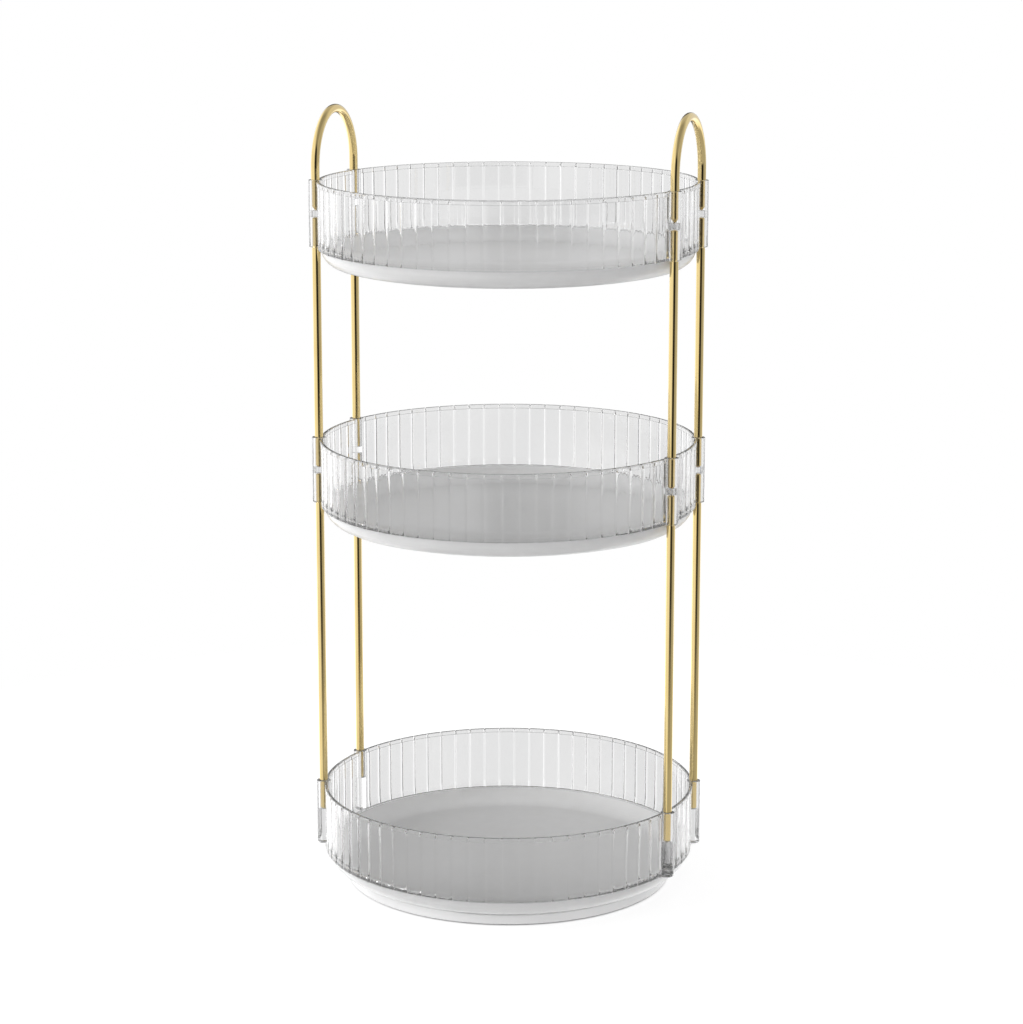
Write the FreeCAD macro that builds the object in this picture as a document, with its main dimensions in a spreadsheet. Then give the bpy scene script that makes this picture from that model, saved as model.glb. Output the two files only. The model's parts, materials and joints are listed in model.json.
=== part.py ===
import FreeCAD, Part

import math
import os
import re

import Sketcher

# Rotating three-tier organiser: fluted clear trays on four thin rods, turning on a low round base.
# Millimetres, +Z up. The origin is on the turning axis, at the surface that the feet stand on.
# +X points at the middle of one handle, and the other handle is opposite it.

DIMENSIONS = {
    # name: (millimetres, degrees or count, what it is)
    "crest_radius": (121.2, "outside of the flutes and of the plain rim"),
    "flute_count": (72, "flutes round one tray"),
    "flute_depth": (0.9, "how far a flute stands out of the wall"),
    "flute_land": (0.8, "flat strip between two flutes"),
    "ridge_height": (1.0, "inside ridge behind each strip"),
    "ridge_gap": (3.2, "plain wall left between two ridges"),
    "wall_thickness": (2.2, "tray wall at the middle of a flute"),
    "band_height": (42.6, "upright part of the tray wall"),
    "rim_height": (2.8, "plain band above the flutes"),
    "rim_round": (0.8, "rounding of the rim"),
    "bowl_depth": (11.4, "rounded part of the tray under its wall"),
    "bowl_inset": (2.1, "step from the flutes in to the bowl"),
    "bowl_radius": (13.0, "outside rounding of the bowl"),
    "bowl_inner_radius": (16.0, "inside rounding of the bowl"),
    "floor_thickness": (2.4, "tray floor"),
    "foot_ring_gap": (1.9, "ring under the tray floor to the upstand of the base"),
    "foot_ring_width": (2.5, "width of that ring"),
    "foot_ring_height": (1.2, "height of that ring"),
    "rod_overhang": (0.8, "axes of the rods outside the crests"),
    "pair_angle": (16.8, "from the middle of a handle to one of its rods, degrees"),
    "lug_diameter": (9.0, "sleeve on the tray wall that holds the rods"),
    "socket_depth": (19.4, "blind hole in one end of a sleeve"),
    "rod_diameter": (5.4, "rods and handles"),
    "spigot_diameter": (4.5, "stepped ends of rods and handles"),
    "spigot_clearance": (0.1, "all round a spigot in its socket"),
    "spigot_end_gap": (0.5, "left between a spigot and the bottom of its socket"),
    "spigot_chamfer": (0.6, "tip of a rod spigot"),
    "shoulder_chamfer": (0.3, "corner of a rod at its shoulder"),
    "lower_tier_spacing": (230.4, "rim of the lowest tray to rim of the middle tray"),
    "upper_tier_spacing": (165.3, "rim of the middle tray to rim of the top tray"),
    "handle_straight": (7.0, "straight of a handle above the rim"),
    "handle_tip_length": (2.0, "cone at the end of a handle"),
    "handle_tip_diameter": (1.6, "small end of that cone"),
    "foot_height": (0.8, "how far the pads lift the base"),
    "foot_recess": (0.6, "how deep the pads sit in the base"),
    "foot_diameter": (14.0, "non-slip pad"),
    "foot_clearance": (0.1, "all round a pad in its recess"),
    "foot_count": (6, "pads"),
    "foot_inset": (18.0, "edge of the base to the axes of the pads"),
    "base_inset": (0.2, "base inside the foot of the bowl"),
    "base_wall": (2.6, "upstand round the base"),
    "base_web": (1.8, "floor of the base"),
    "base_height": (6.8, "base without its pads"),
    "base_round": (1.0, "upper corner of the upstand"),
    "base_foot_round": (0.8, "lower corner of the base"),
    "hub_radius": (11.0, "boss round the pin"),
    "hub_clearance": (0.4, "boss to the turntable plate"),
    "ball_diameter": (4.0, "bearing balls"),
    "ball_count": (12, "bearing balls"),
    "ball_circle_radius": (70.0, "axis to the balls"),
    "groove_depth": (0.6, "ball groove in base and plate"),
    "ball_clearance": (0.08, "balls to their grooves"),
    "cage_width": (12.0, "ring that spaces the balls"),
    "cage_thickness": (1.4, "ring that spaces the balls"),
    "cage_pocket_clearance": (0.2, "balls in the ring"),
    "plate_thickness": (3.0, "turntable plate"),
    "plate_clearance": (0.2, "plate inside the foot ring of the tray"),
    "pin_diameter": (6.0, "pin that the plate turns on"),
    "pin_clearance": (0.06, "pin in the plate and in the base"),
    "pin_head_diameter": (12.0, "head of the pin"),
    "pin_head_height": (1.2, "head of the pin"),
    "pin_head_gap": (0.2, "over, under and beside the head"),
    "neck_diameter": (4.0, "lower end of the pin"),
    "neck_flare_diameter": (6.4, "closed end of the pin"),
    "neck_flare_height": (0.4, "closed end of the pin"),
    "washer_diameter": (15.0, "washer under the base"),
    "washer_thickness": (0.7, "washer under the base"),
    "washer_clearance": (0.2, "washer in its recess"),
}

DIMENSION_CELLS = {name: f"Dimensions.{name}" for name in DIMENSIONS}

# Heights above the surface, worked out from the sizes above.
WEB_TOP = "(foot_height + base_web)"
BALL_HEIGHT = f"({WEB_TOP} - groove_depth + ball_clearance + ball_diameter / 2)"
PLATE_BOTTOM = f"({BALL_HEIGHT} + ball_diameter / 2 + ball_clearance - groove_depth)"
TRAY_UNDERSIDE = f"({PLATE_BOTTOM} + plate_thickness)"
BOTTOM_BAND = f"({TRAY_UNDERSIDE} + bowl_depth)"
MIDDLE_BAND = f"({BOTTOM_BAND} + lower_tier_spacing)"
TOP_BAND = f"({MIDDLE_BAND} + upper_tier_spacing)"
TOP_RIM = f"({TOP_BAND} + band_height)"

# Radii of the tray wall.
CORE_RADIUS = "(crest_radius - flute_depth)"
INNER_RADIUS = "(crest_radius - wall_thickness)"
BOWL_TOP_RADIUS = "(crest_radius - bowl_inset)"
BOWL_RUN = "sqrt(bowl_radius ^ 2 - (bowl_radius - bowl_depth) ^ 2)"
BOWL_FOOT_RADIUS = f"({BOWL_TOP_RADIUS} - {BOWL_RUN})"

# Radii of what stands round the tray wall and under it.
ROD_CIRCLE_RADIUS = "(crest_radius + rod_overhang)"
BASE_RADIUS = f"({BOWL_FOOT_RADIUS} - base_inset)"
FOOT_CIRCLE_RADIUS = f"({BASE_RADIUS} - foot_inset)"
FOOT_RING_RADIUS = f"({BASE_RADIUS} - base_wall - foot_ring_gap)"

# What fits in what.
SOCKET_DIAMETER = "(spigot_diameter + 2 * spigot_clearance)"
SPIGOT_LENGTH = "(socket_depth - spigot_end_gap)"
WASHER_RECESS = "(washer_thickness + neck_flare_height)"

# Points closer than this are at the same height, and a length shorter than it is nothing.
LEVEL = 0.001

PILLARS = {"back": 1, "front": -1}
SIDES = {"right": 1, "left": -1}

document = FreeCAD.newDocument("organiser")
sheet = document.addObject("Spreadsheet::Sheet", "Dimensions")


def fill_sheet():
    """Write every driving dimension, its name and its note into the sheet."""
    for row, (name, (size, note)) in enumerate(DIMENSIONS.items(), start=1):
        sheet.set(f"A{row}", name)
        sheet.set(f"B{row}", str(size))
        sheet.set(f"C{row}", note)
        sheet.setAlias(f"B{row}", name)
    document.recompute()


def bound(formula):
    """Turn a formula of dimension names into one that other objects can be bound to."""
    return re.sub(r"[a-z_]+", lambda word: DIMENSION_CELLS.get(word[0], word[0]), str(formula))


def size(formula):
    """The present value of a formula of dimension names."""
    return float(sheet.evalExpression(bound(formula)))


def bind(thing, **formulas):
    """Bind properties of an object to formulas of dimension names."""
    for name, formula in formulas.items():
        thing.setExpression(name, bound(formula))


def place(thing, x="0", y="0", z="0"):
    """Bind where an object stands."""
    for axis, formula in zip("xyz", (x, y, z)):
        thing.setExpression(f"Placement.Base.{axis}", bound(formula))


def new_body(name):
    body = document.addObject("PartDesign::Body", name)
    body.Label = name
    return body


def origin_feature(body, role):
    """One of the planes or axes of a body's own origin."""
    return next(part for part in body.Origin.OriginFeatures if part.Role == role)


def new_sketch(body, name, plane="XY_Plane", lift=None):
    """A sketch on one of the body's own planes, lifted off it where a formula says so."""
    sketch = body.newObject("Sketcher::SketchObject", name)
    sketch.AttachmentSupport = (origin_feature(body, plane), [""])
    sketch.MapMode = "FlatFace"
    if lift is not None:
        sketch.setExpression("AttachmentOffset.Base.z", bound(lift))
    return sketch


def fix_point(sketch, curve, point, name, across, along):
    """Bind both coordinates of one point of a sketch to formulas."""
    for kind, formula in (("DistanceX", across), ("DistanceY", along)):
        index = sketch.addConstraint(Sketcher.Constraint(kind, -1, 1, curve, point, size(formula)))
        sketch.renameConstraint(index, f"{name}_{kind[-1].lower()}")
        sketch.setExpression(f"Constraints[{index}]", bound(formula))


def outline(sketch, *corners):
    """Draw a closed outline through corners given as formulas.

    A corner is (across, along), or (across, along, centre_across, centre_along, turn) where the
    way to the next corner is an arc about that centre, with turn 1 for anticlockwise.
    """
    flat = [FreeCAD.Vector(size(corner[0]), size(corner[1]), 0) for corner in corners]
    for number, corner in enumerate(corners):
        start = flat[number]
        end = flat[(number + 1) % len(corners)]
        if len(corner) == 2:
            sketch.addGeometry(Part.LineSegment(start, end), False)
            continue
        centre = FreeCAD.Vector(size(corner[2]), size(corner[3]), 0)
        first, last = (start, end) if corner[4] > 0 else (end, start)
        circle = Part.Circle(centre, FreeCAD.Vector(0, 0, 1), (first - centre).Length)
        low = math.atan2(first.y - centre.y, first.x - centre.x)
        high = math.atan2(last.y - centre.y, last.x - centre.x)
        if high < low:
            high += 2 * math.pi
        sketch.addGeometry(Part.ArcOfCircle(circle, low, high), False)
    for number, corner in enumerate(corners):
        after = (number + 1) % len(corners)
        end_point = 1 if len(corner) > 2 and corner[4] < 0 else 2
        start_point = 2 if len(corners[after]) > 2 and corners[after][4] < 0 else 1
        sketch.addConstraint(Sketcher.Constraint("Coincident", number, end_point, after, start_point))
    for number, corner in enumerate(corners):
        start_point = 2 if len(corner) > 2 and corner[4] < 0 else 1
        fix_point(sketch, number, start_point, f"corner_{number}", corner[0], corner[1])
        if len(corner) > 2:
            level = abs(flat[number].y - flat[(number + 1) % len(corners)].y) < LEVEL
            kind, formula = ("DistanceY", corner[3]) if level else ("DistanceX", corner[2])
            index = sketch.addConstraint(
                Sketcher.Constraint(kind, -1, 1, number, 3, size(formula)))
            sketch.setExpression(f"Constraints[{index}]", bound(formula))


def circle_at(sketch, across, along, diameter):
    """Draw a circle whose centre and diameter follow formulas."""
    centre = FreeCAD.Vector(size(across), size(along), 0)
    circle = Part.Circle(centre, FreeCAD.Vector(0, 0, 1), size(diameter) / 2)
    curve = sketch.addGeometry(circle, False)
    fix_point(sketch, curve, 3, f"centre_{curve}", across, along)
    index = sketch.addConstraint(Sketcher.Constraint("Diameter", curve, size(diameter)))
    sketch.setExpression(f"Constraints[{index}]", bound(diameter))


def turned(body, name, *corners, cut=False):
    """A solid of revolution about the body's Z axis, or a cut of that form."""
    sketch = new_sketch(body, f"{name}_section", "XZ_Plane")
    outline(sketch, *corners)
    kind = "PartDesign::Groove" if cut else "PartDesign::Revolution"
    feature = body.newObject(kind, name)
    feature.Profile = sketch
    feature.ReferenceAxis = (sketch, ["V_Axis"])
    feature.Angle = 360
    return feature


def raised(body, name, sketch, length, downward=False):
    """A pad of a sketch."""
    pad = body.newObject("PartDesign::Pad", name)
    pad.Profile = sketch
    pad.Reversed = downward
    bind(pad, Length=length)
    return pad


def sunk(body, name, sketch, length, upward=False):
    """A pocket of a sketch, downward unless told otherwise."""
    pocket = body.newObject("PartDesign::Pocket", name)
    pocket.Profile = sketch
    pocket.Reversed = upward
    bind(pocket, Length=length)
    return pocket


def repeated(body, name, feature, count):
    """Repeat a feature round the body's Z axis."""
    pattern = body.newObject("PartDesign::PolarPattern", name)
    pattern.Originals = [feature]
    pattern.Axis = (origin_feature(body, "Z_Axis"), [""])
    pattern.Angle = 360
    bind(pattern, Occurrences=count)
    body.Tip = pattern
    return pattern


def pillar_places():
    """Where the four rods stand, as formulas, with the words for each."""
    for side, side_sign in SIDES.items():
        for row, row_sign in PILLARS.items():
            across = f"{side_sign} * {ROD_CIRCLE_RADIUS} * cos(pair_angle * 1 deg)"
            along = f"{row_sign} * {ROD_CIRCLE_RADIUS} * sin(pair_angle * 1 deg)"
            yield f"{row}_{side}", across, along


def four_circles(body, name, diameter, lift=None):
    """A sketch with a circle at each of the four rods."""
    sketch = new_sketch(body, name, lift=lift)
    for _, across, along in pillar_places():
        circle_at(sketch, across, along, diameter)
    return sketch


def flute_sketch(body):
    """One convex flute: an arc that leaves half a strip free on each side."""
    sketch = new_sketch(body, "flute_section")
    half_turn = "(180 / flute_count - flute_land / (crest_radius) * 90 / pi) * 1 deg"
    edge_across = f"({CORE_RADIUS}) * cos({half_turn})"
    edge_along = f"({CORE_RADIUS}) * sin({half_turn})"
    rise = f"(crest_radius - {edge_across})"
    radius = f"(({edge_along}) ^ 2 + {rise} ^ 2) / (2 * {rise})"
    root = "crest_radius - flute_depth - wall_thickness / 2"
    outline(
        sketch,
        (root, f"-1 * {edge_along}"),
        (edge_across, f"-1 * {edge_along}", f"crest_radius - {radius}", "0", 1),
        (edge_across, edge_along),
        (root, edge_along),
    )
    return sketch


def ridge_sketch(body, bottom):
    """One inside ridge, with hollow flanks, behind the strip between two flutes."""
    sketch = new_sketch(body, "ridge_section", lift=bottom)
    half_turn = "(180 / flute_count - ridge_gap / (crest_radius) * 90 / pi) * 1 deg"
    root = f"({INNER_RADIUS} + wall_thickness / 3)"
    foot_across = f"({INNER_RADIUS}) * cos({half_turn})"
    foot_along = f"({INNER_RADIUS}) * sin({half_turn})"
    tip_across = f"{INNER_RADIUS} - ridge_height"
    run = f"({foot_along})"
    rise = f"({foot_across} - {INNER_RADIUS} + ridge_height)"
    radius = f"({run} ^ 2 + {rise} ^ 2) / (2 * {rise})"
    centre_across = f"{foot_across} - {radius}"
    outline(
        sketch,
        (tip_across, "0", centre_across, foot_along, 1),
        (foot_across, foot_along),
        (root, foot_along),
        (root, f"-1 * {foot_along}"),
        (foot_across, f"-1 * {foot_along}", centre_across, f"-1 * {foot_along}", 1),
    )
    return sketch


def make_tray_shell():
    """The moulding that all three trays share, with Z = 0 at the lower end of the fluted band."""
    body = new_body("tray_shell")
    underside = "-1 * bowl_depth"
    floor = "floor_thickness - bowl_depth"
    ring_inner = f"{FOOT_RING_RADIUS} - foot_ring_width"
    ring_bottom = "-1 * bowl_depth - foot_ring_height"
    inner_centre = f"{INNER_RADIUS} - bowl_inner_radius"
    rim_low = "band_height - rim_height"
    rim_side = "band_height - rim_round"
    turned(
        body, "blank",
        ("0", underside),
        (ring_inner, underside),
        (ring_inner, ring_bottom),
        (FOOT_RING_RADIUS, ring_bottom),
        (FOOT_RING_RADIUS, underside),
        (CORE_RADIUS, underside),
        (CORE_RADIUS, rim_low),
        ("crest_radius", rim_low),
        ("crest_radius", rim_side, "crest_radius - rim_round", rim_side, 1),
        ("crest_radius - rim_round", "band_height"),
        (f"{INNER_RADIUS} + rim_round", "band_height", f"{INNER_RADIUS} + rim_round", rim_side, 1),
        (INNER_RADIUS, rim_side),
        (INNER_RADIUS, f"{floor} + bowl_inner_radius", inner_centre,
         f"{floor} + bowl_inner_radius", -1),
        (inner_centre, floor),
        ("0", floor),
    )
    lugs = four_circles(body, "lug_section", "lug_diameter", lift=underside)
    raised(body, "lugs", lugs, "bowl_depth + band_height")
    clear_radius = f"{ROD_CIRCLE_RADIUS} + lug_diameter"
    clear_bottom = "-2 * bowl_depth"
    turned(
        body, "bowl_outside",
        (BOWL_FOOT_RADIUS, clear_bottom),
        (clear_radius, clear_bottom),
        (clear_radius, "0"),
        (BOWL_TOP_RADIUS, "0", BOWL_FOOT_RADIUS, "bowl_radius - bowl_depth", -1),
        (BOWL_FOOT_RADIUS, underside),
        cut=True,
    )
    flute = raised(body, "flute", flute_sketch(body), rim_low)
    repeated(body, "flutes", flute, "flute_count")
    ridge_bottom = f"{floor} + floor_thickness"
    ridge = raised(body, "ridge", ridge_sketch(body, ridge_bottom), f"{rim_side} - ({ridge_bottom})")
    repeated(body, "ridges", ridge, "flute_count")
    upper_sockets = four_circles(body, "upper_socket_section", SOCKET_DIAMETER, lift="band_height")
    sunk(body, "upper_sockets", upper_sockets, "socket_depth")
    return body


def make_tray(shell, name, band_bottom, sockets_below):
    """One of the three trays. The sleeves of the two upper ones also take rods from below."""
    body = new_body(name)
    body.BaseFeature = shell
    place(body, z=band_bottom)
    if not sockets_below:
        return body
    lower_sockets = four_circles(body, "lower_socket_section", SOCKET_DIAMETER)
    sunk(body, "lower_sockets", lower_sockets, "socket_depth", upward=True)
    return body


def make_rod(name, across, along, bottom, length):
    """A turned rod with a stepped, chamfered spigot at each end, Z = 0 at its lower shoulder."""
    body = new_body(name)
    spigot = "spigot_diameter / 2"
    outside = "rod_diameter / 2"
    top = f"({length})"
    turned(
        body, "rod",
        ("0", f"-1 * {SPIGOT_LENGTH}"),
        (f"{spigot} - spigot_chamfer", f"-1 * {SPIGOT_LENGTH}"),
        (spigot, f"spigot_chamfer - {SPIGOT_LENGTH}"),
        (spigot, "0"),
        (f"{outside} - shoulder_chamfer", "0"),
        (outside, "shoulder_chamfer"),
        (outside, f"{top} - shoulder_chamfer"),
        (f"{outside} - shoulder_chamfer", top),
        (spigot, top),
        (spigot, f"{top} + {SPIGOT_LENGTH} - spigot_chamfer"),
        (f"{spigot} - spigot_chamfer", f"{top} + {SPIGOT_LENGTH}"),
        ("0", f"{top} + {SPIGOT_LENGTH}"),
    )
    place(body, across, along, bottom)
    return body


def make_handle(name, side_sign):
    """A bent rod joining the two rods of one side, Z = 0 at the ends of its arch."""
    body = new_body(name)
    arch_radius = f"{ROD_CIRCLE_RADIUS} * sin(pair_angle * 1 deg)"
    end_section = new_sketch(body, "arch_section")
    circle_at(end_section, "0", arch_radius, "rod_diameter")
    arch = body.newObject("PartDesign::Revolution", "arch")
    arch.Profile = end_section
    arch.ReferenceAxis = (end_section, ["H_Axis"])
    arch.Angle = 180
    for word, diameter, length in (
        ("straights", "rod_diameter", "handle_straight"),
        ("spigots", "spigot_diameter", f"handle_straight + {SPIGOT_LENGTH} - handle_tip_length"),
    ):
        legs = new_sketch(body, f"{word}_section")
        for sign in (1, -1):
            circle_at(legs, "0", f"{sign} * {arch_radius}", diameter)
        raised(body, word, legs, length, downward=True)
    tip_top = f"handle_tip_length - handle_straight - {SPIGOT_LENGTH}"
    tips = new_sketch(body, "tips_section", lift=tip_top)
    for sign in (1, -1):
        circle_at(tips, "0", f"{sign} * {arch_radius}", "spigot_diameter")
    tip = raised(body, "tips", tips, "handle_tip_length", downward=True)
    slope = "atan((handle_tip_diameter - spigot_diameter) / 2 / handle_tip_length)"
    bind(tip, TaperAngle=slope)
    across = f"{side_sign} * {ROD_CIRCLE_RADIUS} * cos(pair_angle * 1 deg)"
    place(body, across, "0", f"{TOP_RIM} + handle_straight")
    return body


def make_base():
    """The round dish that stands still, with its ball groove and the boss of the pin."""
    body = new_body("base_plate")
    bottom = "foot_height"
    side_top = "foot_height + base_height"
    groove_low = f"{WEB_TOP} - groove_depth"
    ball_fit = "(ball_diameter / 2 + ball_clearance)"
    groove_half = f"sqrt({ball_fit} ^ 2 - ({ball_fit} - groove_depth) ^ 2)"
    pin_hole = "pin_diameter / 2 + pin_clearance"
    turned(
        body, "dish",
        (pin_hole, bottom),
        (f"{BASE_RADIUS} - base_foot_round", bottom,
         f"{BASE_RADIUS} - base_foot_round", f"{bottom} + base_foot_round", 1),
        (BASE_RADIUS, f"{bottom} + base_foot_round"),
        (BASE_RADIUS, f"{side_top} - base_round",
         f"{BASE_RADIUS} - base_round", f"{side_top} - base_round", 1),
        (f"{BASE_RADIUS} - base_round", side_top),
        (f"{BASE_RADIUS} - base_wall", side_top),
        (f"{BASE_RADIUS} - base_wall", WEB_TOP),
        (f"ball_circle_radius + {groove_half}", WEB_TOP,
         "ball_circle_radius", f"{groove_low} + {ball_fit}", -1),
        (f"ball_circle_radius - {groove_half}", WEB_TOP),
        ("hub_radius", WEB_TOP),
        ("hub_radius", f"{PLATE_BOTTOM} - hub_clearance"),
        (pin_hole, f"{PLATE_BOTTOM} - hub_clearance"),
    )
    recess = new_sketch(body, "washer_recess_section", lift=bottom)
    circle_at(recess, "0", "0", "washer_diameter + 2 * washer_clearance")
    sunk(body, "washer_recess", recess, WASHER_RECESS, upward=True)
    pad_recess = new_sketch(body, "pad_recess_section", lift=bottom)
    circle_at(pad_recess, FOOT_CIRCLE_RADIUS, "0", "foot_diameter + 2 * foot_clearance")
    pocket = sunk(body, "pad_recess", pad_recess, "foot_recess", upward=True)
    repeated(body, "pad_recesses", pocket, "foot_count")
    return body


def make_ring_of(name, kind, count, radius, z, **sizes):
    """One node that holds the same small solid at even steps round the axis."""
    pieces = []
    for number in range(int(size(count))):
        piece = document.addObject(f"Part::{kind}", f"{name}_{number + 1}")
        bind(piece, **sizes)
        turn = f"360 * {number} / {count} * 1 deg"
        place(piece, f"{radius} * cos({turn})", f"{radius} * sin({turn})", z)
        pieces.append(piece)
    group = document.addObject("Part::Compound", name)
    group.Links = pieces
    group.Label = name
    return group


def make_cage():
    """The thin ring that keeps the balls apart."""
    body = new_body("ball_cage")
    bottom = f"{BALL_HEIGHT} - cage_thickness / 2"
    turned(
        body, "ring",
        ("ball_circle_radius - cage_width / 2", bottom),
        ("ball_circle_radius + cage_width / 2", bottom),
        ("ball_circle_radius + cage_width / 2", f"{bottom} + cage_thickness"),
        ("ball_circle_radius - cage_width / 2", f"{bottom} + cage_thickness"),
    )
    section = new_sketch(body, "pocket_section", lift=f"{bottom} + cage_thickness")
    circle_at(section, "ball_circle_radius", "0", "ball_diameter + 2 * cage_pocket_clearance")
    pocket = sunk(body, "pocket", section, "cage_thickness")
    repeated(body, "pockets", pocket, "ball_count")
    return body


def make_turntable_plate():
    """The disc under the lowest tray, with the upper ball groove and the recess of the pin's head."""
    body = new_body("turntable_plate")
    edge = f"{FOOT_RING_RADIUS} - foot_ring_width - plate_clearance"
    ball_fit = "(ball_diameter / 2 + ball_clearance)"
    groove_half = f"sqrt({ball_fit} ^ 2 - ({ball_fit} - groove_depth) ^ 2)"
    groove_centre = f"{PLATE_BOTTOM} + groove_depth - {ball_fit}"
    pin_hole = "pin_diameter / 2 + pin_clearance"
    head_recess = "pin_head_diameter / 2 + pin_head_gap"
    recess_floor = f"{TRAY_UNDERSIDE} - pin_head_height - 2 * pin_head_gap"
    turned(
        body, "disc",
        (pin_hole, PLATE_BOTTOM),
        (f"ball_circle_radius - {groove_half}", PLATE_BOTTOM,
         "ball_circle_radius", groove_centre, -1),
        (f"ball_circle_radius + {groove_half}", PLATE_BOTTOM),
        (edge, PLATE_BOTTOM),
        (edge, TRAY_UNDERSIDE),
        (head_recess, TRAY_UNDERSIDE),
        (head_recess, recess_floor),
        (pin_hole, recess_floor),
    )
    return body


def make_pin():
    """The riveted pin that holds plate and base together."""
    body = new_body("centre_pin")
    head_top = f"{TRAY_UNDERSIDE} - pin_head_gap"
    head_bottom = f"{head_top} - pin_head_height"
    shoulder = f"foot_height + {WASHER_RECESS}"
    neck_bottom = f"{shoulder} - washer_thickness"
    flare_bottom = f"{neck_bottom} - neck_flare_height"
    turned(
        body, "rivet",
        ("0", flare_bottom),
        ("neck_diameter / 2", flare_bottom),
        ("neck_flare_diameter / 2", neck_bottom),
        ("neck_diameter / 2", neck_bottom),
        ("neck_diameter / 2", shoulder),
        ("pin_diameter / 2", shoulder),
        ("pin_diameter / 2", head_bottom),
        ("pin_head_diameter / 2", head_bottom),
        ("pin_head_diameter / 2", f"{head_top} - pin_head_height / 3"),
        ("pin_head_diameter / 2 - pin_head_height / 3", head_top),
        ("0", head_top),
    )
    return body


def make_washer():
    """The washer that the closed end of the pin bears on."""
    body = new_body("retaining_washer")
    top = f"foot_height + {WASHER_RECESS}"
    bottom = f"{top} - washer_thickness"
    hole = "neck_diameter / 2 + pin_clearance"
    turned(
        body, "washer",
        (hole, bottom),
        ("washer_diameter / 2", bottom),
        ("washer_diameter / 2", top),
        (hole, top),
    )
    return body


def make_organiser():
    """Make every piece and return the ones that are written out."""
    shell = make_tray_shell()
    pieces = [
        make_base(),
        make_ring_of("base_feet", "Cylinder", "foot_count", FOOT_CIRCLE_RADIUS, "0",
                     Radius="foot_diameter / 2", Height="foot_height + foot_recess"),
        make_pin(),
        make_washer(),
        make_cage(),
        make_ring_of("bearing_balls", "Sphere", "ball_count", "ball_circle_radius", BALL_HEIGHT,
                     Radius="ball_diameter / 2"),
        make_turntable_plate(),
        make_tray(shell, "tray_bottom", BOTTOM_BAND, sockets_below=False),
        make_tray(shell, "tray_middle", MIDDLE_BAND, sockets_below=True),
        make_tray(shell, "tray_top", TOP_BAND, sockets_below=True),
    ]
    for where, across, along in pillar_places():
        pieces.append(make_rod(f"lower_rod_{where}", across, along, f"{BOTTOM_BAND} + band_height",
                               "lower_tier_spacing - band_height"))
        pieces.append(make_rod(f"upper_rod_{where}", across, along, f"{MIDDLE_BAND} + band_height",
                               "upper_tier_spacing - band_height"))
    for side, side_sign in SIDES.items():
        pieces.append(make_handle(f"handle_{side}", side_sign))
    document.recompute()
    return pieces


def check(pieces):
    """Stop if any object of the document failed or any piece is not a sound solid."""
    for thing in document.Objects:
        if "Invalid" in thing.State or "Error" in thing.State:
            raise RuntimeError(f"{thing.Label} failed: {thing.State}")
    for piece in pieces:
        if piece.Shape.isNull() or not piece.Shape.isValid() or not piece.Shape.Solids:
            raise RuntimeError(f"{piece.Label} is not a sound solid")


def write(pieces):
    """Write each piece to its own file."""
    os.makedirs("parts", exist_ok=True)
    for piece in pieces:
        piece.Shape.exportStep(f"parts/{piece.Label}.step")
        print(f"{piece.Label}: {len(piece.Shape.Solids)} solids, {piece.Shape.Volume / 1000:.2f} cm3")


if __name__ == "__main__":
    fill_sheet()
    organiser = make_organiser()
    check(organiser)
    write(organiser)
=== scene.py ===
"""The looks of a clear three-tier organiser that turns on a low round base.

Every length is in metres, in the frame of the CAD part: +Z is up, the origin is on the turning axis
at the surface that the pads stand on, and +X points at the middle of the right handle.
"""

import json
import logging
import math
from collections.abc import Callable, Iterator, Sequence
from contextlib import contextmanager
from dataclasses import dataclass
from enum import Enum

import bmesh
import bpy
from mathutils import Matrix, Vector


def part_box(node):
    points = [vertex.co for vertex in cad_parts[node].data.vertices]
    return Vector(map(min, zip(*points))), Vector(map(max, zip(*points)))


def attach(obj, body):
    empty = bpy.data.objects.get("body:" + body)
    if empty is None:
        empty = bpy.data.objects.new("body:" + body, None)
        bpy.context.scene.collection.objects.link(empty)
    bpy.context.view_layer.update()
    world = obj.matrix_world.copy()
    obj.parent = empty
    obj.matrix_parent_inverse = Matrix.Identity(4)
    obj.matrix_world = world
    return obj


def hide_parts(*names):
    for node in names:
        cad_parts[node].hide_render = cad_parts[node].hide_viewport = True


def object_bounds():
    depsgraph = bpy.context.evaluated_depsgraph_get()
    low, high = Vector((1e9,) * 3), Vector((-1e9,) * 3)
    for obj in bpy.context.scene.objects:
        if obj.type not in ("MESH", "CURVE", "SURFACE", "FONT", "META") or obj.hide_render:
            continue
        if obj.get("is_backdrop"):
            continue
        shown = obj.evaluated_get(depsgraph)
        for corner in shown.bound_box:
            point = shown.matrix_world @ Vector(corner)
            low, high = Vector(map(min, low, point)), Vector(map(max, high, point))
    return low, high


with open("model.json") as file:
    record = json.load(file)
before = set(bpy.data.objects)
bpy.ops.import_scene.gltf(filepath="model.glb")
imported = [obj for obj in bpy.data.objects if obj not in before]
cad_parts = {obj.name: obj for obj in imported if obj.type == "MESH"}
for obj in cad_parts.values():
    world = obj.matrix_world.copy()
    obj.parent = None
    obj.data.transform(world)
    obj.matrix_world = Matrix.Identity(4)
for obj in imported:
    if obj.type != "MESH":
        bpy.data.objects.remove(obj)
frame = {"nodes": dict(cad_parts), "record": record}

log = logging.getLogger("organiser")

MM = 0.001
# the drawn trays stay this far inside the solids that they stand for
SKIN = 0.001 * MM
FRAME_WIDTH = 1023
FRAME_HEIGHT = 1024

Place = tuple[float, float, float]
Colour = tuple[float, float, float, float]
Span = tuple[float, float]
Test = Callable[[Vector], bool]


class Slot(Enum):
    """The record's material slots."""

    CLEAR = "clear_plastic"
    FROSTED = "frosted_plastic"
    GOLD = "gold_metal"
    STEEL = "steel"
    CAGE = "cage_plastic"
    PAD = "pad_rubber"


class Body(Enum):
    """The bodies that new pieces ride on."""

    CAROUSEL = "carousel"


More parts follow.
